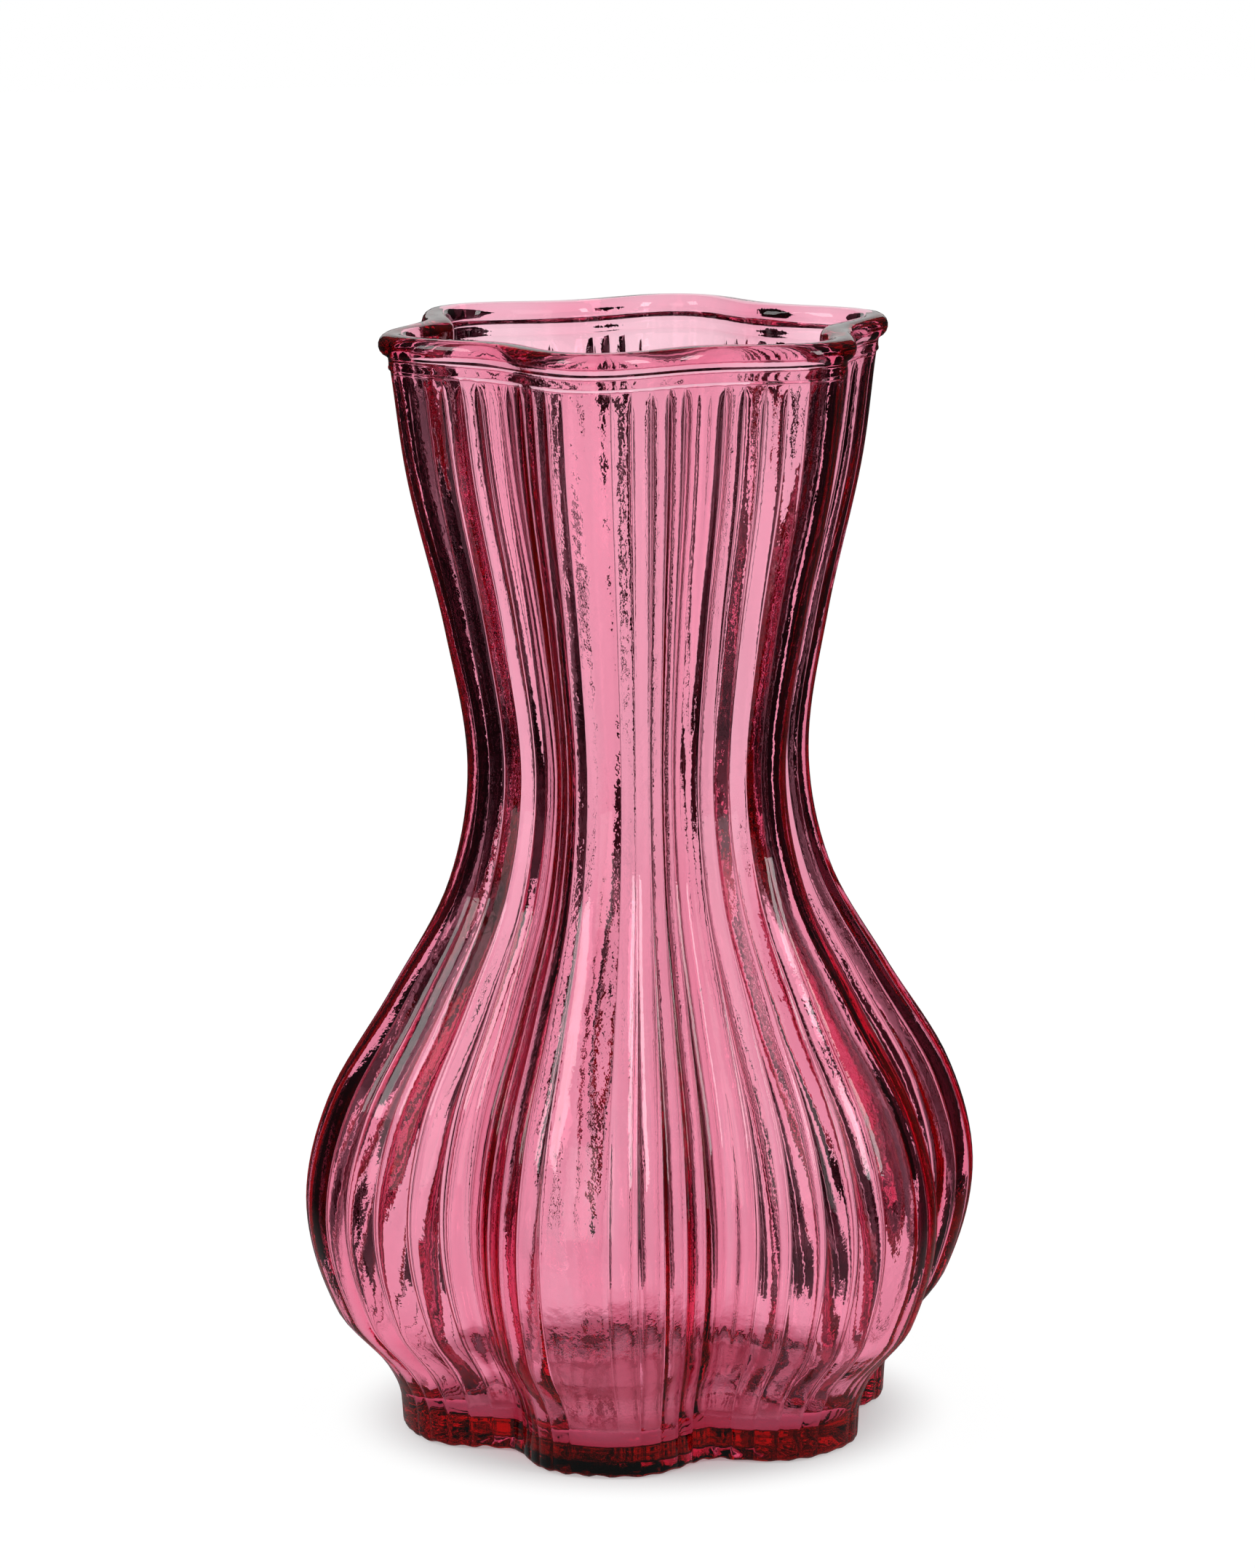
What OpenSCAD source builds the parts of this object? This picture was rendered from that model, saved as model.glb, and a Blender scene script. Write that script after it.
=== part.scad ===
// Six-lobed glass vase with a fluted bulb, a flared neck and a rounded rim.
// Millimetres, +Z up. The origin is the middle of the face that the vase stands on.
// One lobe faces the front, -Y. The vase is a single moulded glass. Its nodes are the
// moulded zones of that glass, stacked face to face on shared rings of points.

/* [Overall] */
// Height from the resting face to the top of the rim
height = 207.5; // [198:0.5:238]
// Number of lobes round the plan
lobes = 6; // [5:1:7]
/* [Foot] */
// Radius of the foot at the crown of a lobe
foot_r = 47; // [43:0.5:52]
// Thickness of the solid glass under the inside
floor_t = 4.5; // [3.5:0.25:6]
// Width and height of the step that eases the foot's lower edge
foot_edge = 0.9; // [0.4:0.1:1.5]
// Radius of the rounding where the inside wall meets the floor
floor_round = 8; // [6:0.5:8.5]
/* [Bulb] */
// Radius of the bulb at the crown of a lobe
bulb_r = 65.2; // [58:0.5:72]
// Height of the bulb's widest ring
bulb_z = 44; // [40:1:52]
/* [Waist] */
// Radius of the waist at the crown of a lobe
waist_r = 33.2; // [29:0.5:38]
// Height of the waist, the narrowest ring
waist_z = 126; // [115:1:140]
/* [Mouth] */
// Radius of the neck under the collar, at the crown of a lobe
mouth_r = 46.8; // [43:0.1:52]
// Height of the smooth collar between the flutes and the rim
collar_h = 2.4; // [2:0.1:4]
// How far the collar stands out from the neck at the mould's parting line
collar_step = 0.3; // [0.2:0.05:0.6]
// Height of the rounded bead of the rim
bead_h = 4.3; // [3.6:0.1:5.5]
// How far the bead stands out from the neck
bead_overhang = 2.2; // [2:0.1:3.5]
/* [Glass] */
// Thickness of the wall at the crowns, square to the outline of its side
wall = 3.4; // [3:0.1:4.5]
/* [Flutes] */
// Number of narrow flutes on each flank of a lobe
flank_flutes = 4; // [3:1:4]
// Width of the broad panel on each crown and in each valley, in degrees round the axis
panel_angle = 11.2; // [9:0.2:13]
// Depth of the grooves between the flutes, on the bulb
groove_d = 0.55; // [0.3:0.05:0.8]
// Height over which the grooves fade out under the collar
groove_fade = 4; // [2:0.5:8]

/* [Hidden] */
glass_colour = "#D5587A";

// Valley depth as a share of the crown radius, at the foot, from bulb to waist, and at the mouth
foot_valley_share = 0.196;
body_valley_share = 0.233;
mouth_valley_share = 0.168;
// How much the crowns are flattened, at the foot and at the mouth, and how much of it is inside
foot_flat_share = 0.23;
mouth_flat_share = -0.05;
inside_flat_share = 0.6;
// Valley depth inside as a share of the depth outside: the glass is thicker in the valleys
inside_valley_share = 1.12;

// Points of the side's curve: share of the rise, and share of the way from one radius to the next
heel_curve_shares = [[0.215, 0.176], [0.494, 0.692]];
shoulder_curve_shares = [[0.244, 0.134], [0.488, 0.516], [0.732, 0.872]];
neck_curve_shares = [[0.3485, 0.294], [0.7239, 0.787]];

// Heights that follow from the sizes above
bead_z = height - bead_h;
collar_z = bead_z - collar_h;

// A stretch of the side: its start, the points between, without its end
function stretch(z0, r0, z1, r1, shares) =
    concat([[z0, r0]], [for (s = shares) [z0 + (z1 - z0) * s[0], r0 + (r1 - r0) * s[1]]]);

// The side at the crown of a lobe, from the floor to the collar, as height and radius
side = concat(
    stretch(floor_t, foot_r, bulb_z, bulb_r, heel_curve_shares),
    stretch(bulb_z, bulb_r, waist_z, waist_r, shoulder_curve_shares),
    stretch(waist_z, waist_r, collar_z, mouth_r, neck_curve_shares),
    [[collar_z, mouth_r]]
);
side_end = len(side) - 1;

// Seams between the zones of the glass, on points of the side
heel_top_z = side[1][0];
shoulder_top_z = side[5][0];
waist_top_z = side[8][0];

// Slope of the side at its point i, level at the foot
function point_slope(i) =
    i == 0 ? 0 :
    let (below = side[i - 1], above = side[min(i + 1, side_end)])
    (above[1] - below[1]) / (above[0] - below[0]);

// Number of the side's stretch that holds height z
function stretch_at(z) = max([for (i = [0:side_end - 1]) if (z >= side[i][0]) i]);

// Crown radius and slope at height z, on a smooth curve through the side's points
function crown_r(z) =
    let (i = stretch_at(z), rise = side[i + 1][0] - side[i][0], t = (z - side[i][0]) / rise)
    side[i][1] * (2 * t ^ 3 - 3 * t ^ 2 + 1) + side[i + 1][1] * (3 * t ^ 2 - 2 * t ^ 3)
    + rise * (point_slope(i) * (t ^ 3 - 2 * t ^ 2 + t) + point_slope(i + 1) * (t ^ 3 - t ^ 2));
function crown_slope(z) =
    let (i = stretch_at(z), rise = side[i + 1][0] - side[i][0], t = (z - side[i][0]) / rise)
    (side[i][1] - side[i + 1][1]) * (6 * t ^ 2 - 6 * t) / rise
    + point_slope(i) * (3 * t ^ 2 - 4 * t + 1) + point_slope(i + 1) * (3 * t ^ 2 - 2 * t);

// Radius of the inside at the crown of a lobe, with the rounding at the floor
function floor_rounding(z) =
    let (t = min(1, (z - floor_t) / floor_round))
    floor_round * (1 - sqrt(1 - (1 - t) ^ 2));
function inside_r(z) =
    crown_r(z) - wall * sqrt(1 + crown_slope(z) ^ 2) - floor_rounding(z);

// Depth of the valleys between lobes, and flatness of the crowns, at height z
function valley_d(z) = crown_r(z) * lookup(z, [
    [side[0][0], foot_valley_share],
    [side[2][0], body_valley_share],
    [waist_z, body_valley_share],
    [collar_z, mouth_valley_share]
]);
function flatness(z) = lookup(z, [[0, foot_flat_share], [collar_z, mouth_flat_share]]);

// Depth of the grooves at height z: they grow with the side and fade out under the collar
function groove_at(z) =
    groove_d * crown_r(z) / bulb_r * min(1, (collar_z - z) / groove_fade);

// Rise of a lobe: 1 on its crown and 0 in the valley, where turn runs from 0 to 360 for a lobe
function lobe_rise(turn, flat) = (1 + cos(turn) - flat * (cos(2 * turn) - 1)) / 2;

// Points round one lobe: the middle and the edge of each flute and panel in turn
points_per_lobe = 4 * (flank_flutes + 1);
lobe_angle = 360 / lobes;
half_flute_angle = (lobe_angle / 2 - panel_angle) / (2 * flank_flutes);
function half_lobe_turn(i) =
    i == 0 ? 0 :
    i == points_per_lobe / 2 ? lobe_angle / 2 :
    panel_angle / 2 + (i - 1) * half_flute_angle;
function lobe_turn(i) =
    i <= points_per_lobe / 2 ? half_lobe_turn(i) : lobe_angle - half_lobe_turn(points_per_lobe - i);

// One ring of the plan as flat points. Every second point lies in a groove.
function plan(r, drop, flat, groove) = [
    for (k = [0:lobes - 1], i = [0:points_per_lobe - 1])
        let (
            turn = lobe_turn(i),
            angle = k * lobe_angle + turn - 90,
            reach = r - drop * (1 - lobe_rise(turn * lobes, flat)) - groove * (i % 2)
        )
        reach * [cos(angle), sin(angle)]
];
function at_height(points, z) = [for (p = points) [p[0], p[1], z]];

// Rings of the outside and the inside at height z
function outer_ring(z) =
    at_height(plan(crown_r(z), valley_d(z), flatness(z), groove_at(z)), z);
function inside_plan(r, z) =
    plan(r, valley_d(z) * inside_valley_share, flatness(z) * inside_flat_share, 0);
function inner_ring(z) = at_height(inside_plan(inside_r(z), z), z);
// Rings above the flutes, whose lobes keep the mouth's shape
function rim_ring(r, z) = at_height(plan(r, valley_d(collar_z), mouth_flat_share, 0), z);
function rim_inside_ring(z) = at_height(inside_plan(inside_r(collar_z), collar_z), z);

// Closed solid whose section is a loop of rings, the outside from below, then the inside from above
module ring_solid(rings) {
    count = len(rings);
    round_count = len(rings[0]);
    faces = [
        for (i = [0:count - 1], j = [0:round_count - 1])
            let (
                a = i * round_count + j,
                b = i * round_count + (j + 1) % round_count,
                c = ((i + 1) % count) * round_count + j,
                d = ((i + 1) % count) * round_count + (j + 1) % round_count
            )
            each [[a, c, d], [a, d, b]]
    ];
    polyhedron(points = [for (ring = rings) each ring], faces = faces);
}

// Zone of the wall between two heights, with so many steps outside and inside
module wall_zone(z0, z1, outer_steps, inner_steps) {
    color(glass_colour)
        ring_solid(concat(
            [for (k = [0:outer_steps]) outer_ring(z0 + (z1 - z0) * k / outer_steps)],
            [for (k = [0:inner_steps]) inner_ring(z1 + (z0 - z1) * k / inner_steps)]
        ));
}

// Solid floor of the foot, flat underneath, its lower edge eased by a step
module base() {
    reach = crown_r(floor_t);
    drop = valley_d(floor_t);
    flat = flatness(floor_t);
    groove = groove_at(floor_t);
    color(glass_colour) {
        linear_extrude(foot_edge)
            polygon(plan(reach - foot_edge, drop, flat, groove));
        translate([0, 0, foot_edge])
            linear_extrude(floor_t - foot_edge)
                polygon(plan(reach, drop, flat, groove));
    }
}

// Upright side of the foot, with the rounding from the floor into the wall inside
module heel() {
    wall_zone(floor_t, heel_top_z, 3, 5);
}

// Wide lower body, up to its widest ring
module bulb() {
    wall_zone(heel_top_z, bulb_z, 5, 3);
}

// Shoulder, from the widest ring to where the outline starts to hollow in
module shoulder() {
    wall_zone(bulb_z, shoulder_top_z, 6, 4);
}

// Narrow waist
module waist() {
    wall_zone(shoulder_top_z, waist_top_z, 8, 6);
}

// Flared neck, up to where the flutes end
module neck() {
    wall_zone(waist_top_z, collar_z, 7, 4);
}

// Smooth collar, which stands out a little from the neck at the parting line
module collar() {
    color(glass_colour)
        ring_solid([
            outer_ring(collar_z),
            rim_ring(mouth_r + collar_step, collar_z),
            rim_ring(mouth_r + collar_step, bead_z),
            rim_inside_ring(bead_z),
            rim_inside_ring(collar_z)
        ]);
}

// Rounded bead of the rim: round outside over a sloped underside, and with a rounded inner edge
module rim_bead() {
    arc_r = bead_h / 2;
    arc_steps = 5;
    // Angle below level at which the round meets the underside
    underside_angle = 60;
    outer_centre_r = mouth_r + bead_overhang - arc_r;
    inner_centre_r = inside_r(collar_z) + arc_r;
    color(glass_colour)
        ring_solid(concat(
            [rim_ring(mouth_r + collar_step, bead_z)],
            [for (k = [0:arc_steps])
                let (a = (90 + underside_angle) * k / arc_steps - underside_angle)
                rim_ring(outer_centre_r + arc_r * cos(a), bead_z + arc_r + arc_r * sin(a))],
            [for (k = [0:arc_steps - 2])
                let (a = 90 + 90 * k / (arc_steps - 2))
                at_height(
                    inside_plan(inner_centre_r + arc_r * cos(a), collar_z),
                    height - arc_r + arc_r * sin(a)
                )],
            [rim_inside_ring(bead_z)]
        ));
}

base();
heel();
bulb();
shoulder();
waist();
neck();
collar();
rim_bead();
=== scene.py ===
"""A six-lobed vase of cranberry pink glass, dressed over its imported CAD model.

Laid out as an add-on and run as a script. Lengths are in metres and +Z is up. The origin is the
middle of the face that the vase stands on, and one lobe faces the front, -Y.
"""

import math

import bmesh
import bpy
from mathutils import Matrix, Vector, noise


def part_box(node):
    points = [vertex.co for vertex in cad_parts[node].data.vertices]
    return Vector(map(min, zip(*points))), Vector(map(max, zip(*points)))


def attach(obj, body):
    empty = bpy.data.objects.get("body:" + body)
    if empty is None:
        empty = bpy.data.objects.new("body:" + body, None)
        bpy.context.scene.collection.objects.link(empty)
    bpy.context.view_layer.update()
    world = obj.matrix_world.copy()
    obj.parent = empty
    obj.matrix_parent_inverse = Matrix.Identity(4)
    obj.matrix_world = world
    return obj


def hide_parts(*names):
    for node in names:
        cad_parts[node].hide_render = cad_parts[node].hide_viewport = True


bl_info = {
    "name": "Six-lobed glass vase",
    "version": (1, 0, 0),
    "blender": (4, 5, 0),
    "location": "View3D > Sidebar > Vase",
    "description": "Builds a fluted vase of cranberry glass and the studio that it stands in",
    "category": "Add Mesh",
}

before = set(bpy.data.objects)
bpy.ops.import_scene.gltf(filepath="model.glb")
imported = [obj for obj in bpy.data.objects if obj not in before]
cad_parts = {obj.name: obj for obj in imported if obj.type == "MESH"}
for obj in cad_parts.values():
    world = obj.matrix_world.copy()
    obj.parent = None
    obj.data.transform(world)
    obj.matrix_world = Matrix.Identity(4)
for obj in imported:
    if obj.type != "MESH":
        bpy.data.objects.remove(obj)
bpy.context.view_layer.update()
MM = 0.001

# Zones of the CAD model that the one continuous glass stands for
ZONES = ("base", "heel", "bulb", "shoulder", "waist", "neck", "collar", "rim_bead")


def zone_top(zone):
    """Height of the top of a zone of the CAD model."""
    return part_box(zone)[1].z


def zone_reach(zone):
    """How far a zone of the CAD model reaches from the axis, at the crown of the front lobe."""
    return -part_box(zone)[0].y


HEIGHT = zone_top("rim_bead")
# The side's curve swells a little past its widest ring, so the ring is drawn in by this much
BULB_MARGIN = 0.06 * MM
# Points closer together than this are one point
TOUCH = 0.001 * MM

LOBES = 6
LOBE_ANGLE = math.tau / LOBES

# Points of the side's curve: share of the rise, and share of the way from one radius to the next
HEEL_CURVE_SHARES = ((0.215, 0.176), (0.494, 0.692))
SHOULDER_CURVE_SHARES = ((0.244, 0.134), (0.488, 0.516), (0.732, 0.872))
NECK_CURVE_SHARES = ((0.3485, 0.294), (0.7239, 0.787))
# Depth of the valleys as a share of the radius on the crowns
FOOT_VALLEY_SHARE = 0.196
BODY_VALLEY_SHARE = 0.233
MOUTH_VALLEY_SHARE = 0.168
# How much the crowns are flattened, at the foot and at the mouth, and how much of it is inside
FOOT_FLAT_SHARE = 0.23
MOUTH_FLAT_SHARE = -0.05
INSIDE_FLAT_SHARE = 0.6

# Narrow flutes on each flank of a lobe, between the broad panels on its crown and in its valley
FLANK_FLUTES = 4
# How flat flutes and panels are in the middle, and so how narrow their grooves are
FLUTE_POWER = 4
PANEL_POWER = 5
# Depth of each groove from the crown to the valley
GROOVE_SHARES = (0.5, 0.8, 1.1, 1.5, 1.9)
# Grooves go with this power of the vase's radius, and fade out over this height under the collar
GROOVE_GROWTH = 3
GROOVE_FADE = 4 * MM
# Places across a flute and across half a panel that get a point, close together at the grooves
FLUTE_PLACES = (0, 0.06, 0.2, 0.4, 0.6, 0.8, 0.94)
PANEL_PLACES = (0, 0.3, 0.55, 0.75, 0.88, 0.96)
HALF_LOBE_STEPS = len(FLUTE_PLACES) * FLANK_FLUTES + 2 * len(PANEL_PLACES)

# Rings of the underside: share of the way out, and shares of the hollow's and the ribs' depth
UNDERSIDE_SHARES = (
    (0, 1, 0),
    (0.4, 1, 0),
    (0.72, 1, 0),
    (0.77, 0.85, 0),
    (0.82, 0, 0.5),
    (0.9, 0, 1),
)
# How much narrower the foot is at its lower edge
FOOT_DRAFT = 0.2 * MM
# Distance from one ring to the next, outside and inside, by height
OUTER_GAPS = ((0, 1.6 * MM), (20 * MM, 1.8 * MM), (60 * MM, 2.4 * MM))
INNER_GAPS = ((0, 2.2 * MM), (80 * MM, 3 * MM), (120 * MM, 3.8 * MM))
# These rings end so far under the collar, and so far over the rounding at the floor
OUTER_END = 3.2 * MM
INNER_END = 3 * MM
# Rings where the grooves end: distance under the collar
FADE_RINGS = (1.8 * MM, 0.9 * MM, 0.3 * MM)
# Rings of the mould's parting line: height over the collar's foot, and how far they stand out
PARTING_RINGS = ((0.1 * MM, 0.05 * MM), (0.35 * MM, 0.1 * MM), (0.7 * MM, 0), (1.4 * MM, 0))
# Ring where the bead rises from the collar: how far out, and how far under the bead
BEAD_ROOT = (0.1 * MM, 0.25 * MM)
# Where the round of the bead starts, measured from straight outwards
BEAD_START = math.radians(-70)
# Steps round the foot's edge, the bead's outside, and both the bead's inside and the floor's edge
EDGE_STEPS = 4
BEAD_STEPS = 8
ROUND_STEPS = 6
# Rings of the floor inside, as shares of its radius
FLOOR_RING_SHARES = (0.9, 0.78, 0.64, 0.5, 0.35, 0.18, 0)

# Height of the waves inside, by height in the vase, round the floor's edge and on the floor
RIPPLE_SHARES = ((0, 0.6), (25 * MM, 1), (70 * MM, 0.8), (110 * MM, 0.35), (200 * MM, 0.2))
ROUNDING_RIPPLE_SHARE = 0.6
FLOOR_RIPPLE_SHARE = 2
# Waves to the metre, across and up
RIPPLES_ACROSS = 70
RIPPLES_UP = 60

# Ribs round the foot's lower edge
FOOT_RIBS = 66
# Their depth wanders about this share of the full one, in so many waves to the metre
RIB_SHARE = 0.6
RIB_WAVES = 90
# How far a rib of full depth is shifted along the edge, in radians of the ribs' own wave
RIB_SHIFT = 3

# What each point of the shell carries until the lobes are pressed
LAYERS = ("valley", "flat", "groove", "ripple", "rib")

# Chill waves in the skin: how far apart, how high at full strength, and how strong
CHILL_WAVE = 5 * MM
CHILL_HEIGHT = 0.6 * MM
CHILL_STRENGTH = 0.12


def hex_colour(code):
    """Linear red, green and blue of an sRGB hex colour."""
    values = [int(code[i : i + 2], 16) / 255 for i in (1, 3, 5)]
    return tuple(v / 12.92 if v <= 0.04045 else ((v + 0.055) / 1.055) ** 2.4 for v in values)


def length(name, description, default):
    """A length property in metres."""
    return bpy.props.FloatProperty(
        name=name,
        description=description,
        default=default,
        min=0,
        unit="LENGTH",
        subtype="DISTANCE",
        precision=5,
    )


def angle(name, description, degrees):
    """An angle property, given in degrees."""
    return bpy.props.FloatProperty(
        name=name, description=description, default=math.radians(degrees), subtype="ANGLE"
    )


def colour(name, description, code):
    """A colour property, given as sRGB hex."""
    return bpy.props.FloatVectorProperty(
        name=name,
        description=description,
        size=3,
        default=hex_colour(code),
        min=0,
        max=1,
        subtype="COLOR",
    )


class VaseShape(bpy.types.PropertyGroup):
    """Sizes of the glass. A radius is measured at the crown of a lobe."""

    foot_r: length("Foot radius", "Radius of the foot", zone_reach("base"))
    floor_t: length("Floor", "Thickness of the solid glass under the inside", zone_top("base"))
    floor_round: length("Floor rounding", "Radius where the inside wall meets the floor", 8 * MM)
    foot_edge: length("Foot edge", "Rounding of the foot's lower edge", 1.4 * MM)
    bulb_r: length("Bulb radius", "Radius at the widest ring", zone_reach("bulb") - BULB_MARGIN)
    bulb_z: length("Bulb height", "Height of the widest ring", zone_top("bulb"))
    waist_r: length("Waist radius", "Radius at the narrowest ring", 33.2 * MM)
    waist_z: length("Waist height", "Height of the narrowest ring", 126 * MM)
    mouth_r: length("Mouth radius", "Radius of the neck under the collar", zone_reach("neck"))
    collar_h: length("Collar", "Height of the smooth collar", zone_top("collar") - zone_top("neck"))
    collar_step: length(
        "Parting line",
        "How far the collar stands out at the mould's parting line",
        zone_reach("collar") - zone_reach("neck"),
    )
    bead_h: length(
        "Bead height", "Height of the rounded rim", zone_top("rim_bead") - zone_top("collar")
    )
    bead_overhang: length(
        "Bead overhang",
        "How far the rim stands out from the neck",
        zone_reach("rim_bead") - zone_reach("neck"),
    )
    wall: length("Wall", "Thickness of the wall, square to its outline", 3.4 * MM)
    inner_valley: bpy.props.FloatProperty(
        name="Inner valleys",
        description="Valley depth inside as a share of the depth outside",
        default=1.12,
    )
    hollow_d: length("Hollow", "Depth of the shallow hollow under the foot", 1.4 * MM)
    rib_d: length("Rib depth", "Depth of the ribs pressed under the foot's edge", 0.7 * MM)
    groove_d: length("Groove depth", "Depth of grooves between the flutes, on the bulb", 0.8 * MM)
    ripple: length("Inner ripple", "Height of the waves in the inside of the bulb", 0.16 * MM)
    panel_angle: angle("Panel angle", "Width of the panel on each crown and in each valley", 11.2)


class GlassFinish(bpy.types.PropertyGroup):
    """Colour and clearness of the glass."""

    tint: colour("Tint", "Colour that the glass takes on with depth", "#F42A99")
    density: bpy.props.FloatProperty(
        name="Density", description="Absorption per metre of glass", default=160, min=0
    )
    ior: bpy.props.FloatProperty(
        name="IOR",
        description="Refractive index, 1.51 for soda-lime glass",
        default=1.51,
        min=1,
        max=2,
    )


# The camera's way round from the front, in degrees, and the width of its frame in millimetres
CAMERA_AZIMUTH = 11.4
CAMERA_FRAME = 36


class VaseStudio(bpy.types.PropertyGroup):
    """Camera, floor and light."""

    distance: length("Distance", "Camera to the vase's axis, along the floor", 1.2)
    camera_z: length("Camera height", "Height of the camera over the floor", 0.352)
    side: length("Sideways", "How far the camera stands left of the axis", 2.22 * MM)
    azimuth: angle("Azimuth", "Camera's way round from the front", CAMERA_AZIMUTH)
    pitch: angle("Pitch", "Tilt of the camera below level", 10.9)
    roll: angle("Roll", "Turn of the camera about its view", -0.522)
    lens: bpy.props.FloatProperty(
        name="Lens",
        description="Focal length on a frame 36 mm wide",
        default=150.24,
        subtype="DISTANCE_CAMERA",
    )
    floor_colour: colour("Floor", "Colour that floor and background show", "#FFFFFF")
    paper_colour: colour("Paper", "Colour of the floor's paper under the lamps", "#E7E7E7")
    # The paper's pink under the vase is painted light: it glows by emission, as if lit through the
    # glass
    painted_glow_colour: colour("Glow", "Colour of the paper under the vase, lit through it", "#FF95AE")
    # The cloth's faint pink is painted light from the vase: the cloth glows by emission
    flag_colour_painted_glow: colour("Flags", "Black cloth, with the vase's pink light on it", "#110408")


def blend_line(points, x):
    """Value at x on straight lines between points."""
    for (x0, y0), (x1, y1) in zip(points, points[1:]):
        if x <= x1:
            t = max(0, (x - x0) / (x1 - x0))
            return y0 + (y1 - y0) * t
    return points[-1][1]


class Outline:
    """The side of the vase at the crown of a lobe: radius and slope at each height."""

    def __init__(self, shape):
        self.shape = shape
        s = shape
        self.bead_z = HEIGHT - s.bead_h
        self.collar_z = self.bead_z - s.collar_h
        rises = (
            (s.floor_t, s.foot_r, s.bulb_z, s.bulb_r, HEEL_CURVE_SHARES),
            (s.bulb_z, s.bulb_r, s.waist_z, s.waist_r, SHOULDER_CURVE_SHARES),
            (s.waist_z, s.waist_r, self.collar_z, s.mouth_r, NECK_CURVE_SHARES),
        )
        self.points = []
        for z0, r0, z1, r1, shares in rises:
            self.points += [(z0 + (z1 - z0) * a, r0 + (r1 - r0) * b) for a, b in ((0, 0), *shares)]
        self.points.append((self.collar_z, s.mouth_r))
        # The side stands upright at its first point, and elsewhere runs as the points beside it do
        self.slopes = [0]
        for i in range(1, len(self.points)):
            below, above = self.points[i - 1], self.points[min(i + 1, len(self.points) - 1)]
            self.slopes.append((above[1] - below[1]) / (above[0] - below[0]))
        self.heel_z = self.points[2][0]

    def crown(self, z):
        """Radius and slope at height z, on a smooth curve through the side's points."""
        pts = self.points
        z = min(max(z, pts[0][0]), pts[-1][0])
        i = max(k for k in range(len(pts) - 1) if z >= pts[k][0])
        rise = pts[i + 1][0] - pts[i][0]
        t = (z - pts[i][0]) / rise
        m0, m1 = self.slopes[i], self.slopes[i + 1]
        radius = (
            pts[i][1] * (2 * t**3 - 3 * t**2 + 1)
            + pts[i + 1][1] * (3 * t**2 - 2 * t**3)
            + rise * (m0 * (t**3 - 2 * t**2 + t) + m1 * (t**3 - t**2))
        )
        slope = (
            (pts[i][1] - pts[i + 1][1]) * (6 * t**2 - 6 * t) / rise
            + m0 * (3 * t**2 - 4 * t + 1)
            + m1 * (3 * t**2 - 2 * t)
        )
        return radius, slope

    def inside(self, z):
        """Radius of the inside, with the rounding at the floor."""
        s = self.shape
        r, slope = self.crown(z)
        t = min(1, max(0, (z - s.floor_t) / s.floor_round))
        rounding = s.floor_round * (1 - math.sqrt(1 - (1 - t) ** 2))
        return r - s.wall * math.sqrt(1 + slope**2) - rounding

    def valley(self, z):
        """Depth of the valleys between lobes."""
        shares = (
            (self.shape.floor_t, FOOT_VALLEY_SHARE),
            (self.heel_z, BODY_VALLEY_SHARE),
            (self.shape.waist_z, BODY_VALLEY_SHARE),
            (self.collar_z, MOUTH_VALLEY_SHARE),
        )
        return self.crown(z)[0] * blend_line(shares, z)

    def flatness(self, z):
        """How flat the crowns of the lobes are."""
        return blend_line(((0, FOOT_FLAT_SHARE), (self.collar_z, MOUTH_FLAT_SHARE)), z)

    def groove(self, z):
        """Depth of the grooves between flutes."""
        fade = min(1, max(0, (self.collar_z - z) / GROOVE_FADE))
        growth = (self.crown(z)[0] / self.shape.bulb_r) ** GROOVE_GROWTH
        return self.shape.groove_d * growth * fade


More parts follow.
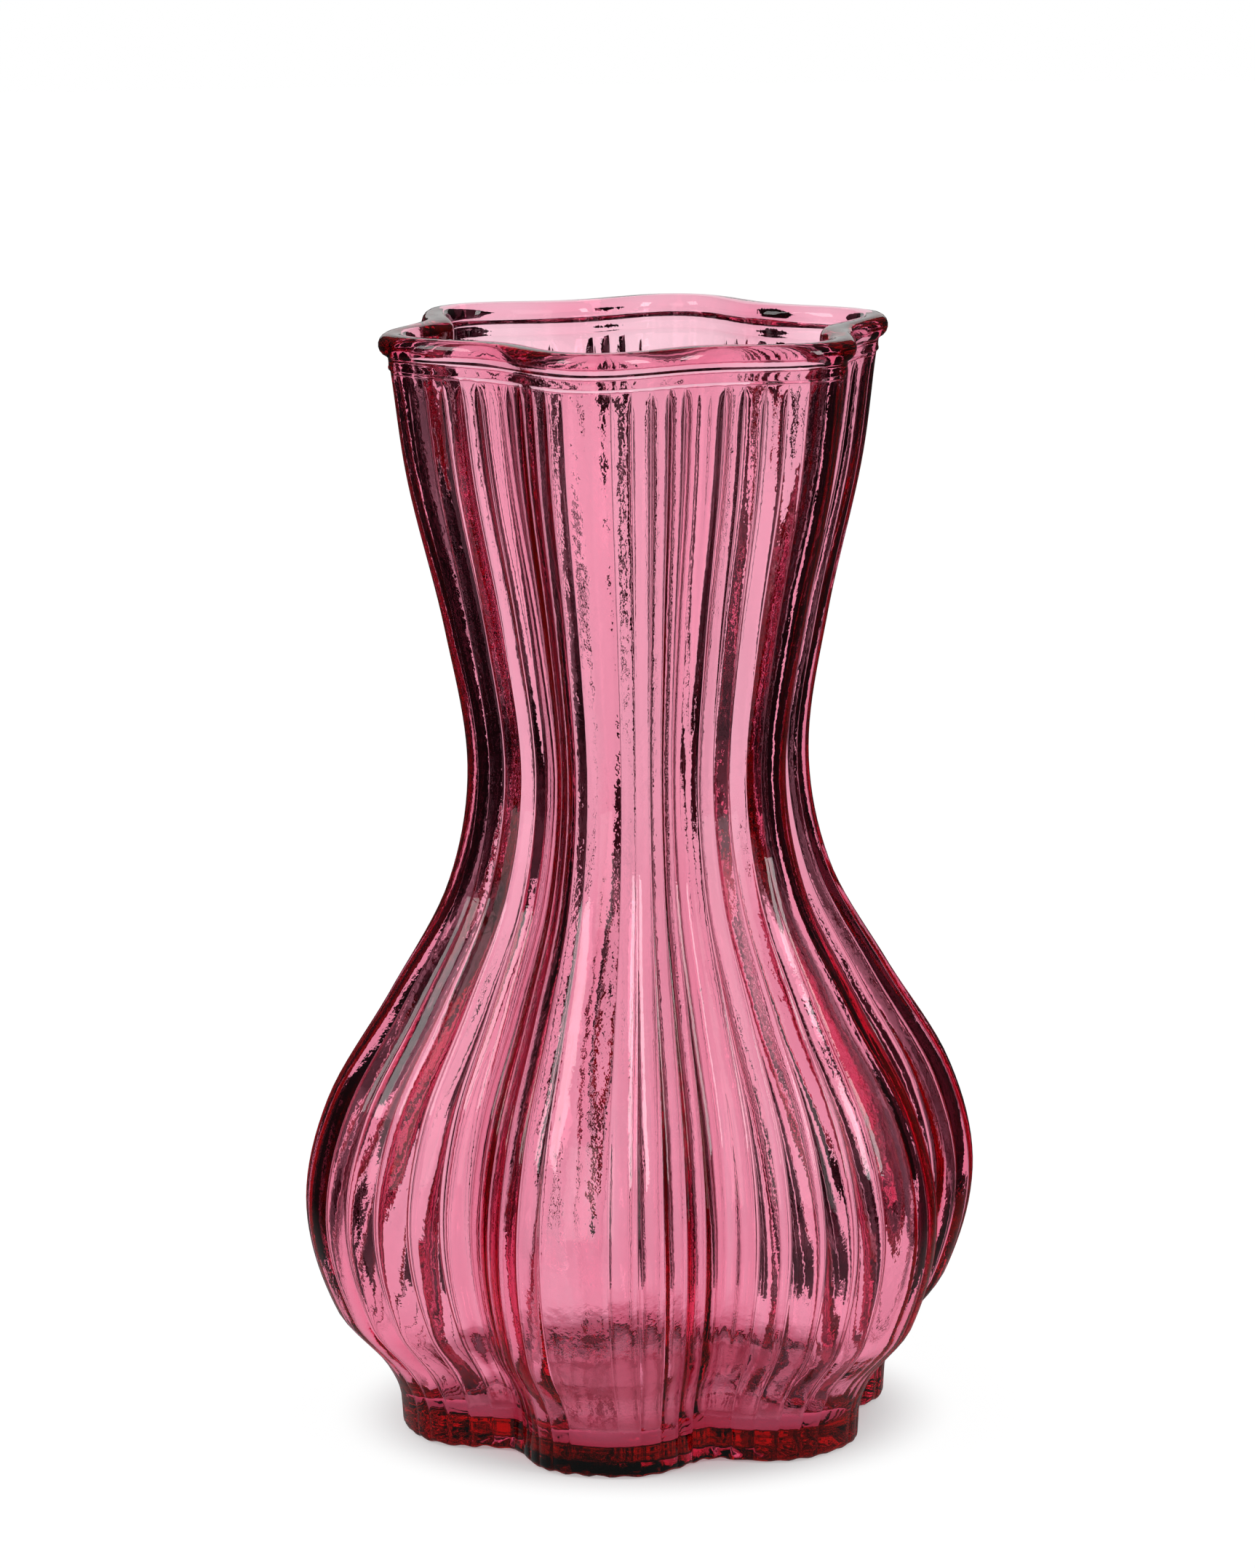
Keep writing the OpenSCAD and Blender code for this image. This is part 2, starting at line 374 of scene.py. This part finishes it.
class Section:
    """The wall's section at a crown, as points from the middle of the underside, up the outside,
    over the rim and down the inside to the middle of the floor."""

    def __init__(self, outline):
        self.outline = outline
        self.shape = outline.shape
        # Each point is a radius, a height, and a value for each of LAYERS
        self.points = []
        self.underside()
        self.outside()
        self.collar()
        self.bead()
        self.inside()

    def add(self, r, z, share=1, groove=0, ripple=0, rib=0, inner=False, at=None):
        """Adds a point with a share of the lobes' depth, as at its own height or at another."""
        at = z if at is None else at
        flat = self.outline.flatness(at) * (INSIDE_FLAT_SHARE if inner else 1)
        valley = self.outline.valley(at) * share * (self.shape.inner_valley if inner else 1)
        self.points.append((r, z, valley, flat, groove, ripple, rib))

    def underside(self):
        """The underside with its shallow hollow, and the rounded lower edge of the foot."""
        s = self.shape
        edge = s.foot_edge
        centre = s.foot_r - FOOT_DRAFT - edge
        for share, up, rib in UNDERSIDE_SHARES:
            self.add(centre * share, up * s.hollow_d, share, rib=rib * s.rib_d, at=s.floor_t)
        groove = self.outline.groove(s.floor_t)
        for k in range(EDGE_STEPS + 1):
            part = k / EDGE_STEPS
            a = math.radians(90) * part
            r = centre + edge * math.sin(a)
            z = edge - edge * math.cos(a)
            self.add(r, z, groove=groove * part, rib=s.rib_d * (1 - part), at=s.floor_t)

    def outside(self):
        """The fluted side, from the foot to where the grooves end under the collar."""
        outline = self.outline
        z = self.shape.floor_t
        self.add(self.shape.foot_r, z, groove=outline.groove(z))
        while z < outline.collar_z - OUTER_END:
            z += blend_line(OUTER_GAPS, z)
            self.add(outline.crown(z)[0], z, groove=outline.groove(z))
        for back in FADE_RINGS:
            z = outline.collar_z - back
            self.add(outline.crown(z)[0], z, groove=outline.groove(z))

    def collar(self):
        """The mould's parting line and the smooth collar."""
        collar_z = self.outline.collar_z
        side = self.shape.mouth_r + self.shape.collar_step
        for rise, out in PARTING_RINGS:
            self.add(side + out, collar_z + rise, at=collar_z)
        out, under = BEAD_ROOT
        self.add(side + out, self.outline.bead_z - under, at=collar_z)

    def bead(self):
        """The rounded rim, fire polished into the inside of the neck."""
        s = self.shape
        collar_z = self.outline.collar_z
        arc = s.bead_h / 2
        centre = s.mouth_r + s.bead_overhang - arc
        for k in range(BEAD_STEPS + 1):
            a = BEAD_START + (math.radians(90) - BEAD_START) * k / BEAD_STEPS
            z = self.outline.bead_z + arc + arc * math.sin(a)
            self.add(centre + arc * math.cos(a), z, at=collar_z)
        centre = self.outline.inside(collar_z) + arc
        for k in range(1, ROUND_STEPS + 1):
            a = math.radians(90 + 90 * k / ROUND_STEPS)
            z = HEIGHT - arc + arc * math.sin(a)
            self.add(centre + arc * math.cos(a), z, inner=True, at=collar_z)

    def inside(self):
        """The smooth inside, waved a little, with its rounding and floor."""
        s = self.shape
        outline = self.outline
        z = HEIGHT - s.bead_h / 2
        while z > s.floor_t + s.floor_round + INNER_END:
            z -= blend_line(INNER_GAPS, z)
            at = min(z, outline.collar_z)
            ripple = blend_line(RIPPLE_SHARES, z) * s.ripple
            self.add(outline.inside(at), z, ripple=ripple, inner=True, at=at)
        ripple = ROUNDING_RIPPLE_SHARE * s.ripple
        for k in range(1, ROUND_STEPS + 1):
            z = s.floor_t + s.floor_round * (1 - math.sin(math.radians(90 * k / ROUND_STEPS)))
            self.add(outline.inside(z), z, ripple=ripple, inner=True)
        floor_r = outline.inside(s.floor_t)
        ripple = FLOOR_RIPPLE_SHARE * s.ripple
        for share in FLOOR_RING_SHARES:
            self.add(floor_r * share, s.floor_t, share, ripple=ripple * share, inner=True)


def half_lobe(panel_angle):
    """Angle from the crown, and depth as a share of the grooves' depth, of each point across
    half a lobe."""
    half_panel = panel_angle / 2
    flute = (LOBE_ANGLE / 2 - panel_angle) / FLANK_FLUTES
    points = [(half_panel * u, GROOVE_SHARES[0] * u**PANEL_POWER) for u in PANEL_PLACES]
    for k in range(FLANK_FLUTES):
        for u in FLUTE_PLACES:
            depth = GROOVE_SHARES[k if u < 0.5 else k + 1]
            points.append((half_panel + flute * (k + u), depth * abs(2 * u - 1) ** FLUTE_POWER))
    # The panel in the valley has one more groove, along its middle
    for u in (1, *reversed(PANEL_PLACES)):
        depth = GROOVE_SHARES[-1] * max(u**PANEL_POWER, (1 - u) ** PANEL_POWER)
        points.append((LOBE_ANGLE / 2 - half_panel * u, depth))
    return points


def add_node(tree, kind, inputs=None, **settings):
    """Adds a node with its settings. An input is a value, or an output socket to link."""
    node = tree.nodes.new(kind)
    for key, value in settings.items():
        setattr(node, key, value)
    for key, value in (inputs or {}).items():
        if isinstance(value, bpy.types.NodeSocket):
            tree.links.new(value, node.inputs[key])
        else:
            node.inputs[key].default_value = value
    return node


def new_material(name):
    """An empty node material and its output node."""
    material = bpy.data.materials.new(name)
    material.use_nodes = True
    material.node_tree.nodes.clear()
    return material, add_node(material.node_tree, "ShaderNodeOutputMaterial")


def cranberry_glass(finish):
    """Soda-lime glass tinted pink through its mass, pressed in a mould and fire polished: clear
    and shiny, deeper in colour where it is thick, with a skin that waves a little where the hot
    glass chilled on the mould."""
    material, out = new_material("cranberry_pressed_glass")
    tree = material.node_tree
    place = add_node(tree, "ShaderNodeTexCoord").outputs["Object"]
    waves = add_node(
        tree,
        "ShaderNodeTexNoise",
        {"Vector": place, "Scale": 1 / CHILL_WAVE, "Detail": 4.0, "Roughness": 0.55},
    )
    skin = add_node(
        tree,
        "ShaderNodeBump",
        {
            "Height": waves.outputs["Fac"],
            "Strength": CHILL_STRENGTH,
            "Distance": CHILL_HEIGHT,
        },
    )
    surface = add_node(
        tree,
        "ShaderNodeBsdfPrincipled",
        {
            "Base Color": (*hex_colour("#FFFFFF"), 1),
            "Roughness": 0.0,
            "IOR": finish.ior,
            "Transmission Weight": 1.0,
            "Normal": skin.outputs["Normal"],
        },
    )
    mass = add_node(
        tree, "ShaderNodeVolumeAbsorption", {"Color": (*finish.tint, 1), "Density": finish.density}
    )
    tree.links.new(surface.outputs["BSDF"], out.inputs["Surface"])
    tree.links.new(mass.outputs["Volume"], out.inputs["Volume"])
    return material


class VASE_OT_glass(bpy.types.Operator):
    """Build the glass as one closed shell with its flutes, rim and floor"""

    bl_idname = "vase.glass"
    bl_label = "Vase glass"
    bl_options = {"REGISTER", "UNDO"}

    def execute(self, context):
        shape = context.scene.vase_shape
        bm = bmesh.new()
        layers = [bm.verts.layers.float.new(name) for name in LAYERS]
        self.turn_shell(bm, layers, Section(Outline(shape)).points)
        self.press_lobes(bm, layers, half_lobe(shape.panel_angle))
        bmesh.ops.recalc_face_normals(bm, faces=bm.faces)
        if any(not e.is_manifold for e in bm.edges):
            raise RuntimeError("the glass is not one closed shell")
        if bm.calc_volume(signed=True) < 0:
            bmesh.ops.reverse_faces(bm, faces=bm.faces)
        for face in bm.faces:
            face.smooth = True
        for name in LAYERS:
            bm.verts.layers.float.remove(bm.verts.layers.float[name])
        mesh = bpy.data.meshes.new("vase_glass")
        bm.to_mesh(mesh)
        bm.free()
        vase = bpy.data.objects.new("vase_glass", mesh)
        context.scene.collection.objects.link(vase)
        mesh.materials.append(cranberry_glass(context.scene.glass_finish))
        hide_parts(*ZONES)
        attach(vase, "root")
        return {"FINISHED"}

    def turn_shell(self, bm, layers, points):
        """Turns the section into one lobe's share of a round shell, set round once for each lobe."""
        line = []
        for r, z, *values in points:
            v = bm.verts.new((r, 0, z))
            for layer, value in zip(layers, values):
                v[layer] = value
            line.append(v)
        edges = [bm.edges.new(pair) for pair in zip(line, line[1:])]
        bmesh.ops.spin(
            bm,
            geom=line + edges,
            cent=(0, 0, 0),
            axis=(0, 0, 1),
            angle=LOBE_ANGLE,
            steps=2 * HALF_LOBE_STEPS,
        )
        lobe = bm.verts[:] + bm.edges[:] + bm.faces[:]
        for turn in range(1, LOBES):
            copy = bmesh.ops.duplicate(bm, geom=lobe)["geom"]
            bmesh.ops.rotate(
                bm,
                cent=(0, 0, 0),
                matrix=Matrix.Rotation(turn * LOBE_ANGLE, 3, "Z"),
                verts=[v for v in copy if isinstance(v, bmesh.types.BMVert)],
            )
        bmesh.ops.remove_doubles(bm, verts=bm.verts, dist=TOUCH)

    def press_lobes(self, bm, layers, table):
        """Moves the round shell's points into lobes, flutes, waves and ribs."""
        valley, flat, groove, ripple, rib = layers
        half = HALF_LOBE_STEPS
        steps = 2 * LOBES * half
        for v in bm.verts:
            r = math.hypot(v.co.x, v.co.y)
            if r < TOUCH:
                continue
            step = round(math.atan2(v.co.y, v.co.x) / math.tau * steps) % steps
            lobe, place = divmod(step, 2 * half)
            turn, crease = table[abs(place - half)]
            a = (lobe + 0.5) * LOBE_ANGLE + math.copysign(turn, place - half)
            c1, c2 = math.cos(turn * LOBES), math.cos(2 * turn * LOBES)
            rise = (1 + c1 - v[flat] * (c2 - 1)) / 2
            reach = r - v[valley] * (1 - rise) - v[groove] * crease
            x, y, z = reach * math.cos(a), reach * math.sin(a), v.co.z
            if v[ripple] > 0:
                spot = Vector((x * RIPPLES_ACROSS, y * RIPPLES_ACROSS, z * RIPPLES_UP))
                wave = v[ripple] * noise.noise(spot)
                x, y, z = (reach + wave) * math.cos(a), (reach + wave) * math.sin(a), z + wave
            if v[rib] > 0:
                uneven = max(0, RIB_SHARE + noise.noise(Vector((x * RIB_WAVES, y * RIB_WAVES, 0))))
                z += v[rib] * uneven * (1 + math.cos(FOOT_RIBS * a + RIB_SHIFT * uneven)) / 2
            v.co = (x, y, z)


# White lanes that run out from the vase between the flags: degrees round from +X, and half the
# width. The widest lies behind the vase, as the photo's camera sees it.
SIDE_LANE = 0.017
FRONT_LANE = 0.065
LANES = (
    (0, 2 * SIDE_LANE),
    (45, 0.022),
    (90, SIDE_LANE),
    (90 + CAMERA_AZIMUTH, 0.09),
    (135, SIDE_LANE),
    (180, 2 * SIDE_LANE),
    (225, FRONT_LANE),
    (270, FRONT_LANE),
    (315, FRONT_LANE),
)
# Lanes closer than this have no flag between them
NARROW_GAP = math.radians(20)
FLAG_LENGTH = 1.2
FLAG_HEIGHT = 0.35
# The flags stand just over the floor, and their tops lean away from the vase by this much
FLAG_FOOT = 1 * MM
FLAG_LEAN = 0.45
# No flag comes closer to the axis than this
CLEAR_R = 78 * MM
# A flag's inner edge shorter than this is a point
SHORT_EDGE = 0.1 * MM

# The flag overhead
LID_Z = 1.1
LID_R = 2.5
LID_SIDES = 48

# The vase stands on a few high points, so there is air under most of its foot
AIR_GAP = 0.2 * MM
FLOOR_R = 3
FLOOR_SIDES = 96
# The paper glows pink out to the first distance from the axis, and white from the second on: the
# pink is painted light, for light through the vase
PAINTED_GLOW_R = (0.025, 0.043)
# Strength of the floor's own white: a little over 1, because the shares below take some away
WHITE_STRENGTH = 1.05
# How much of its white the floor shows to each sort of ray: the nearest and furthest distance from
# the axis, and the shares there. The second row for light through the glass is for the open floor.
# Less white near the vase darkens the floor there by distance: painted shade, over the real shadow
# in the paper
FLOOR_SHARES = (
    ("Is Camera Ray", 0.04, 0.06, 0.3, 0.9),
    ("Is Glossy Ray", 0.04, 0.06, 0.3, 0.9),
    ("Is Transmission Ray", 0.05, 0.15, 0.18, 0.78),
    ("Is Transmission Ray", 0.15, 0.6, 0.0, 1.0),
)
# Strength of the world as soft light. To the eye, in reflections and through glass it is 1.
SOFT_LIGHT = 0.8

# The room, which glows as painted reflections: its size, and the heights between which it gets
# lighter, with the tones there
ROOM_R = 2.8
ROOM_FINENESS = 4
TABLE_SIDES = 64
ROOM_LOW = (0.3, 0.02)
ROOM_HIGH = (1.8, 0.06)
# Painted reflection of the lit paper close to the foot, which shows in its side: distance and tone
# at its start and its end
PAINTED_PAPER_GLEAM_NEAR = (0.08, 0.12)
PAINTED_PAPER_GLEAM_FAR = (0.25, 0.0)

# The glowing card over the table, no lamp, a painted reflection in the top of the rim
CARD_SIZE = 1.0
CARD_PLACE = (0, 1.6, 0.75)
CARD_TONE = 0.7

# Soft lamps: name, place, width and height, power in watts. All point at one spot in the vase.
LAMPS = (
    ("softbox_left", (-0.9, -0.8, 0.9), (0.5, 0.7), 4.5),
    ("softbox_right", (1.1, -0.5, 0.7), (0.3, 0.7), 4),
    ("front_card", (-0.1, -1.5, 0.55), (0.9, 1.05), 3),
)
LAMP_AIM = Vector((0, 0, 0.1))


def white_paper(studio):
    """Matt white paper, rolled out under the vase: even and without gloss. Further out it shows
    white by itself. Close to the vase it shows less of its white, darker by distance: real shadow
    and painted shade, most through deep glass, with a painted pink glow for light through its floor."""
    material, out = new_material("white_paper_sweep")
    tree = material.node_tree
    paper = add_node(tree, "ShaderNodeBsdfDiffuse", {"Color": (*studio.paper_colour, 1)})
    place = add_node(tree, "ShaderNodeTexCoord").outputs["Object"]
    away = add_node(tree, "ShaderNodeVectorMath", {0: place}, operation="LENGTH").outputs["Value"]
    beside = add_node(
        tree,
        "ShaderNodeMapRange",
        {"Value": away, "From Min": PAINTED_GLOW_R[0], "From Max": PAINTED_GLOW_R[1]},
    )
    # Painted light: a pink glow under the vase, white further out
    tone = add_node(
        tree,
        "ShaderNodeMix",
        {
            "Factor": beside.outputs["Result"],
            "A": (*studio.painted_glow_colour, 1),
            "B": (*studio.floor_colour, 1),
        },
        data_type="RGBA",
    )
    white_and_painted_glow = add_node(
        tree, "ShaderNodeEmission", {"Color": tone.outputs["Result"], "Strength": WHITE_STRENGTH}
    )
    path = add_node(tree, "ShaderNodeLightPath")
    share = None
    # Painted shade: each sort of ray sees the floor's white thin out near the vase
    for sort, near, far, least, most in FLOOR_SHARES:
        clear = add_node(
            tree,
            "ShaderNodeMapRange",
            {"Value": away, "From Min": near, "From Max": far, "To Min": least, "To Max": most},
            interpolation_type="SMOOTHSTEP",
        )
        part = add_node(
            tree,
            "ShaderNodeMath",
            {0: path.outputs[sort], 1: clear.outputs["Result"]},
            operation="MULTIPLY",
        )
        if share:
            part = add_node(
                tree,
                "ShaderNodeMath",
                {0: share.outputs[0], 1: part.outputs[0]},
                operation="MAXIMUM",
            )
        share = part
    mixed = add_node(
        tree,
        "ShaderNodeMixShader",
        {0: share.outputs[0], 1: paper.outputs[0], 2: white_and_painted_glow.outputs[0]},
    )
    tree.links.new(mixed.outputs[0], out.inputs["Surface"])
    return material


def dark_flag_cloth(studio):
    """Black cloth on the flags, glowing by itself: all but lightless, and so even that only its
    outline shows, as the dark lines of the flutes and valleys. Its faint pink is painted light from
    the vase."""
    material, out = new_material("dark_flag_cloth")
    tree = material.node_tree
    cloth = add_node(
        tree, "ShaderNodeEmission", {"Color": (*studio.flag_colour_painted_glow, 1), "Strength": 1.0}
    )
    tree.links.new(cloth.outputs[0], out.inputs["Surface"])
    return material


def painted_reflection_room():
    """A room that glows by itself, no lamp, seen only in reflections: painted reflections, dark at
    the table, a little lighter overhead, with painted paper near the foot, which keeps the glass
    quiet."""
    material, out = new_material("painted_reflection_room")
    tree = material.node_tree
    place = add_node(tree, "ShaderNodeTexCoord").outputs["Object"]
    rise = add_node(tree, "ShaderNodeSeparateXYZ", {0: place}).outputs["Z"]
    away = add_node(tree, "ShaderNodeVectorMath", {0: place}, operation="LENGTH").outputs["Value"]
    # Painted reflections: tones by height and near the foot, glowing with no lamp
    tones = []
    for value, start, end in ((rise, ROOM_LOW, ROOM_HIGH), (away, PAINTED_PAPER_GLEAM_NEAR, PAINTED_PAPER_GLEAM_FAR)):
        tone = add_node(
            tree,
            "ShaderNodeMapRange",
            {
                "Value": value,
                "From Min": start[0],
                "From Max": end[0],
                "To Min": start[1],
                "To Max": end[1],
            },
            interpolation_type="SMOOTHSTEP",
        )
        tones.append(tone.outputs["Result"])
    both = add_node(tree, "ShaderNodeMath", {0: tones[0], 1: tones[1]}, operation="ADD")
    glow = add_node(tree, "ShaderNodeEmission", {"Strength": both.outputs[0]})
    tree.links.new(glow.outputs[0], out.inputs["Surface"])
    return material


def painted_grey_reflection():
    """Pale grey card that glows by itself though no lamp: an even tone, a painted reflection, which
    gives the rim its one broad reflection.
    """
    material, out = new_material("painted_grey_reflection")
    tree = material.node_tree
    # Painted reflection: an even glow, though the card is no lamp
    card = add_node(tree, "ShaderNodeEmission", {"Strength": CARD_TONE})
    tree.links.new(card.outputs[0], out.inputs["Surface"])
    return material


class VASE_OT_studio(bpy.types.Operator):
    """Set the floor, the background, the flags, the lamps and the camera"""

    bl_idname = "vase.studio"
    bl_label = "Studio"
    bl_options = {"REGISTER", "UNDO"}

    def execute(self, context):
        scene = context.scene
        studio = scene.vase_studio
        self.background(scene, studio)
        self.floor(scene, studio)
        self.flags(scene, studio)
        self.room(scene)
        self.backdrop(scene, studio)
        self.lamps(scene)
        self.camera(scene, studio)
        scene.view_settings.view_transform = "Standard"
        scene.cycles.max_bounces = 24
        scene.cycles.transmission_bounces = 24
        scene.cycles.glossy_bounces = 12
        return {"FINISHED"}

    def background(self, scene, studio):
        """White to the eye, in reflections and through the glass, and a soft light otherwise."""
        world = bpy.data.worlds.new("white_room")
        world.use_nodes = True
        tree = world.node_tree
        tree.nodes.clear()
        path = add_node(tree, "ShaderNodeLightPath")
        seen = path.outputs["Is Camera Ray"]
        for sort in ("Is Glossy Ray", "Is Transmission Ray"):
            either = add_node(
                tree, "ShaderNodeMath", {0: seen, 1: path.outputs[sort]}, operation="MAXIMUM"
            )
            seen = either.outputs[0]
        tone = add_node(
            tree, "ShaderNodeMapRange", {"Value": seen, "To Min": SOFT_LIGHT, "To Max": 1.0}
        )
        white = add_node(
            tree,
            "ShaderNodeBackground",
            {"Color": (*studio.floor_colour, 1), "Strength": tone.outputs["Result"]},
        )
        out = add_node(tree, "ShaderNodeOutputWorld")
        tree.links.new(white.outputs[0], out.inputs["Surface"])
        scene.world = world

    def floor(self, scene, studio):
        """Paper under the vase."""
        bm = bmesh.new()
        bmesh.ops.create_circle(bm, cap_ends=True, segments=FLOOR_SIDES, radius=FLOOR_R)
        bmesh.ops.translate(bm, vec=(0, 0, -AIR_GAP), verts=bm.verts)
        self.link(scene, bm, "floor", white_paper(studio))

    def flags(self, scene, studio):
        """Black flags round and over the vase, which show only through the glass."""
        cloth = dark_flag_cloth(studio)
        bm = bmesh.new()
        bmesh.ops.create_circle(bm, cap_ends=True, segments=LID_SIDES, radius=LID_R)
        bmesh.ops.translate(bm, vec=(0, 0, LID_Z), verts=bm.verts)
        self.show_only(self.link(scene, bm, "flag_overhead", cloth), transmission=True)
        for number, (lane, next_lane) in enumerate(zip(LANES, LANES[1:] + LANES[:1])):
            (start, near_half), (end, far_half) = lane, next_lane
            turn = math.radians((end - start) % 360)
            if turn < NARROW_GAP:
                continue
            along = Matrix.Rotation(math.radians(start), 3, "Z") @ Vector((1, 0, 0))
            far = Matrix.Rotation(turn, 3, "Z") @ along
            bm = bmesh.new()
            corners = self.flag_corners(along, far, turn, near_half, far_half)
            face = bm.faces.new([bm.verts.new(corner) for corner in corners])
            grown = bmesh.ops.extrude_face_region(bm, geom=[face])["geom"]
            lean = FLAG_LEAN * (along + far).normalized() + Vector((0, 0, FLAG_HEIGHT))
            tops = [v for v in grown if isinstance(v, bmesh.types.BMVert)]
            bmesh.ops.translate(bm, vec=lean, verts=tops)
            self.show_only(self.link(scene, bm, f"flag_{number}", cloth), transmission=True)

    def flag_corners(self, along, far, turn, near_half, far_half):
        """Corners of the wedge between two lanes, which run along and far, a turn apart. Its
        edges start where the lanes cross, or further out where that is too close to the vase."""
        starts = [
            max(
                (there + here * math.cos(turn)) / math.sin(turn),
                math.sqrt(max(0, CLEAR_R**2 - here**2)),
            )
            for here, there in ((near_half, far_half), (far_half, near_half))
        ]
        up = Vector((0, 0, 1))
        foot = FLAG_FOOT * up
        tip = starts[0] * along + near_half * up.cross(along) + foot
        heel = starts[1] * far - far_half * up.cross(far) + foot
        corners = [tip, tip + FLAG_LENGTH * along, heel + FLAG_LENGTH * far]
        if (heel - tip).length > SHORT_EDGE:
            corners.append(heel)
        return corners

    def room(self, scene):
        """The glowing room round the table, which shows only as painted reflections."""
        bm = bmesh.new()
        bmesh.ops.create_icosphere(bm, subdivisions=ROOM_FINENESS, radius=ROOM_R)
        table = bmesh.ops.create_circle(bm, cap_ends=True, segments=TABLE_SIDES, radius=ROOM_R)
        bmesh.ops.translate(bm, vec=(0, 0, -AIR_GAP / 2), verts=table["verts"])
        self.show_only(self.link(scene, bm, "painted_reflection_room", painted_reflection_room()), glossy=True)

    def backdrop(self, scene, studio):
        """The glowing card behind and over the table, opposite the camera, which shows only as a
        painted reflection."""
        bm = bmesh.new()
        bmesh.ops.create_grid(bm, x_segments=1, y_segments=1, size=CARD_SIZE / 2)
        stand = (
            Matrix.Rotation(studio.azimuth, 4, "Z")
            @ Matrix.Translation(CARD_PLACE)
            @ Matrix.Rotation(math.radians(90), 4, "X")
        )
        bmesh.ops.transform(bm, matrix=stand, verts=bm.verts)
        self.show_only(self.link(scene, bm, "painted_reflection_card", painted_grey_reflection()), glossy=True)

    def show_only(self, piece, glossy=False, transmission=False):
        """Hides a piece from the camera and from soft light, and shows it in reflections or
        through the glass."""
        piece.visible_camera = False
        piece.visible_diffuse = False
        piece.visible_shadow = False
        piece.visible_glossy = glossy
        piece.visible_transmission = transmission

    def link(self, scene, bm, name, material):
        """Turns a bmesh into a piece of the stage with a material."""
        mesh = bpy.data.meshes.new(name)
        bm.to_mesh(mesh)
        bm.free()
        mesh.materials.append(material)
        piece = bpy.data.objects.new(name, mesh)
        scene.collection.objects.link(piece)
        return piece

    def lamps(self, scene):
        """Soft lamps in front and at both sides, which give the pale veils on the glass."""
        for name, spot, size, power in LAMPS:
            lamp = bpy.data.lights.new(name, "AREA")
            lamp.shape = "RECTANGLE"
            lamp.size, lamp.size_y = size
            lamp.energy = power
            holder = bpy.data.objects.new(name, lamp)
            scene.collection.objects.link(holder)
            holder.location = spot
            aim = LAMP_AIM - Vector(spot)
            holder.rotation_euler = aim.to_track_quat("-Z", "Y").to_euler()
            holder.visible_camera = False

    def camera(self, scene, studio):
        """The photo's camera, to the front and a little to the right, looking down."""
        eye = bpy.data.cameras.new("camera")
        eye.lens = studio.lens
        eye.sensor_width = CAMERA_FRAME
        holder = bpy.data.objects.new("camera", eye)
        scene.collection.objects.link(holder)
        holder.matrix_world = (
            Matrix.Rotation(studio.azimuth, 4, "Z")
            @ Matrix.Translation((-studio.side, -studio.distance, studio.camera_z))
            @ Matrix.Rotation(math.radians(90) - studio.pitch, 4, "X")
            @ Matrix.Rotation(studio.roll, 4, "Z")
        )
        scene.camera = holder


class VASE_PT_panel(bpy.types.Panel):
    """Vase tools in the sidebar of the 3D view"""

    bl_idname = "VASE_PT_panel"
    bl_label = "Glass vase"
    bl_space_type = "VIEW_3D"
    bl_region_type = "UI"
    bl_category = "Vase"

    def draw(self, context):
        scene = context.scene
        for group in (scene.vase_shape, scene.glass_finish, scene.vase_studio):
            box = self.layout.box()
            for name in group.bl_rna.properties.keys():
                if name not in ("rna_type", "name"):
                    box.prop(group, name)
        self.layout.operator("vase.glass")
        self.layout.operator("vase.studio")


CLASSES = (VaseShape, GlassFinish, VaseStudio, VASE_OT_glass, VASE_OT_studio, VASE_PT_panel)


def register():
    for cls in CLASSES:
        bpy.utils.register_class(cls)
    bpy.types.Scene.vase_shape = bpy.props.PointerProperty(type=VaseShape)
    bpy.types.Scene.glass_finish = bpy.props.PointerProperty(type=GlassFinish)
    bpy.types.Scene.vase_studio = bpy.props.PointerProperty(type=VaseStudio)


def unregister():
    del bpy.types.Scene.vase_shape
    del bpy.types.Scene.glass_finish
    del bpy.types.Scene.vase_studio
    for cls in reversed(CLASSES):
        bpy.utils.unregister_class(cls)


def main():
    register()
    bpy.ops.vase.glass()
    bpy.ops.vase.studio()


if __name__ == "__main__":
    main()
